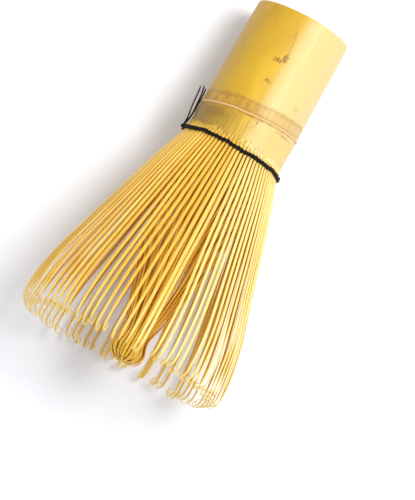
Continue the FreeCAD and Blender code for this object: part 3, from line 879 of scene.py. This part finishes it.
def thread_tube(name, line, radius, ring, closed, yarn_pitch=1.1):
    """Carry a section of three yarns along a line.

    r(turn, s) = radius * (1 + 0.12 cos(3 turn - 2 pi s / pitch)). closed joins the last ring to
    the first by laying one exactly on the other.
    """
    if closed:
        wrapped = np.concatenate([line[-2:-1], line, line[1:2]])
        ahead = np.gradient(wrapped, axis=0)[1:-1]
    else:
        ahead = np.gradient(line, axis=0)
    steps = np.linalg.norm(np.diff(line, axis=0), axis=1)
    along = np.concatenate([[0.0], np.cumsum(steps)])
    if closed:
        yarn_pitch = along[-1] / round(along[-1] / yarn_pitch)
    ahead = ahead / np.linalg.norm(ahead, axis=1, keepdims=True)
    away = line * np.array([1.0, 1.0, 0.0])
    away = away - (away * ahead).sum(axis=1, keepdims=True) * ahead
    away = away / np.linalg.norm(away, axis=1, keepdims=True)
    beside = np.cross(ahead, away)
    turn = np.linspace(0.0, 2.0 * np.pi, ring, endpoint=False)
    wave = np.cos(3.0 * turn[None] - 2.0 * np.pi * along[:, None] / yarn_pitch)
    size = np.broadcast_to(radius, along.shape)[:, None] * (1.0 + 0.12 * wave)
    points = (line[:, None] + (size * np.cos(turn))[..., None] * away[:, None]
              + (size * np.sin(turn))[..., None] * beside[:, None])
    fibre = stack(size * np.cos(turn), size * np.sin(turn), along[:, None] + 0.3 * turn)
    crest = {"crest": (0.5 + 0.5 * wave)[None]}
    return ring_mesh(name, to_frame(points)[None], crest, {"fibre": fibre[None]})


# %% Twined binding
STRAND_RADIUS = 0.32
RING_RADIUS = 15.36
CROSSINGS = TINES // 2
WEAVE_RADIUS = 14.1
WEAVE_STRAND_RADIUS = 0.22


def twined_strand(name, phase, node):
    """radius = R + 0.14 sin(40 angle + phase), height = H + 0.34 pulled cos(40 angle + phase) + wander."""
    angle = np.linspace(0.0, 2.0 * np.pi, CROSSINGS * 36 + 1)
    wander = 0.13 * np.sin(5 * angle + 1.0) + 0.10 * np.sin(11 * angle) + 0.07 * np.sin(23 * angle + 2.0)
    pulled = 1.0 + 0.14 * np.sin(9 * angle + phase) + 0.12 * np.sin(17 * angle + 2 * phase)
    ring_radius = RING_RADIUS + 0.14 * np.sin(CROSSINGS * angle + phase)
    height = THREAD_HEIGHT + 0.34 * pulled * np.cos(CROSSINGS * angle + phase) + wander
    line = stack(ring_radius * np.sin(angle), ring_radius * np.cos(angle), height)
    thickness = STRAND_RADIUS * (0.96 + 0.10 * np.sin(13 * angle + phase))
    strand = thread_tube(name, line, thickness, 12, True)
    finish_piece(strand, thread_material, node)
    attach(strand, "handle")


twined_strand("binding_strand_one", 0.0, "binding_thread_upper")
twined_strand("binding_strand_two", math.pi, "binding_thread_lower")

# the round between the outer and the inner tines dips in and out once for each tine
weave_angle = np.linspace(0.0, 2.0 * np.pi, TINES * 10 + 1)
weave_radius = WEAVE_RADIUS + 0.08 * np.cos(TINES * weave_angle)
weave_line = stack(weave_radius * np.sin(weave_angle), weave_radius * np.cos(weave_angle),
                   THREAD_HEIGHT + 0.12 * np.sin(CROSSINGS * weave_angle))
weave = thread_tube("inner_weave_strand", weave_line, WEAVE_STRAND_RADIUS, 10, True)
finish_piece(weave, thread_material, "inner_weaving_thread")
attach(weave, "handle")
print("binding strands twined round", CROSSINGS * 2, "tines")

# %% [markdown]
# The thread ends in a small knot on the whisk's left, and its cut ends stand out along the
# neck. They are about a centimetre long, too short to fall: the twist keeps them stiff. The knot
# is a trefoil, the curve of a plain overhand knot. Each loose end is a smooth curve through a
# few listed points, tapering where its yarns come apart.

# %% Knot and loose ends
KNOT_SIZE = 0.125
END_RADIUS = 0.2


def polar(stations_by_hand):
    """Points given as (degrees from the upper side, distance from the axis, height along it)."""
    table = np.array(stations_by_hand)
    turn = np.radians(table[:, 0])
    return stack(table[:, 1] * np.sin(turn), table[:, 1] * np.cos(turn), table[:, 2])


def smooth_curve(points, samples):
    """A quadratic B-spline that starts and ends at the first and last point."""
    padded = np.concatenate([2 * points[:1] - points[1:2], points, 2 * points[-1:] - points[-2:-1]])
    spans = len(padded) - 2
    place = np.linspace(0.5, spans - 0.5, samples)
    span = np.minimum(place.astype(int), spans - 1)
    part = (place - span)[:, None]
    first, second, third = padded[span], padded[span + 1], padded[span + 2]
    return 0.5 * (1 - part) ** 2 * first + (0.5 + part - part ** 2) * second + 0.5 * part ** 2 * third


def knot_piece():
    """Trefoil: (sin t + 2 sin 2t, cos t - 2 cos 2t, -sin 3t), scaled to the knot's size."""
    t = np.linspace(0.0, 2.0 * np.pi, 121)
    curve = stack(np.sin(t) + 2 * np.sin(2 * t), np.cos(t) - 2 * np.cos(2 * t), -np.sin(3 * t)) * KNOT_SIZE
    centre = polar([(-84.0, 16.1, THREAD_HEIGHT)])[0]
    line = centre + stack(curve[:, 2], curve[:, 0], curve[:, 1])
    return thread_tube("knot_strand", line, END_RADIUS, 10, True)


knot = knot_piece()
finish_piece(knot, thread_material, "thread_knot")
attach(knot, "handle")
TAILS = {
    "thread_tail_long": [(-88, 15.9, 42.6), (-88.5, 15.7, 41.4), (-89, 15.8, 39.2), (-88, 16.3, 36.4),
                         (-87, 16.5, 33.2), (-86, 16.9, 30.3)],
    "thread_tail_middle": [(-83, 15.9, 42.6), (-83, 15.5, 41.2), (-84, 15.1, 38.4), (-84, 15.35, 35.2),
                           (-84, 15.55, 32.2), (-83, 16.1, 29.9)],
    "thread_tail_short": [(-80, 15.9, 42.8), (-79, 15.5, 41.4), (-80, 15.15, 38.8), (-79, 15.15, 35.2),
                          (-78, 15.3, 32.4), (-78, 15.55, 30.7)],
}
for node, route in TAILS.items():
    line = smooth_curve(polar(route), 120)
    taper = END_RADIUS * np.interp(np.linspace(0, 1, 120), [0.0, 0.9, 0.97, 1.0], [1.0, 1.0, 0.85, 0.35])
    tail = thread_tube(node + "_strand", line, taper, 10, False)
    finish_piece(tail, thread_material, node)
    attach(tail, "handle")
    print(node, round(float(np.linalg.norm(np.diff(line, axis=0), axis=1).sum()), 1), "mm long")
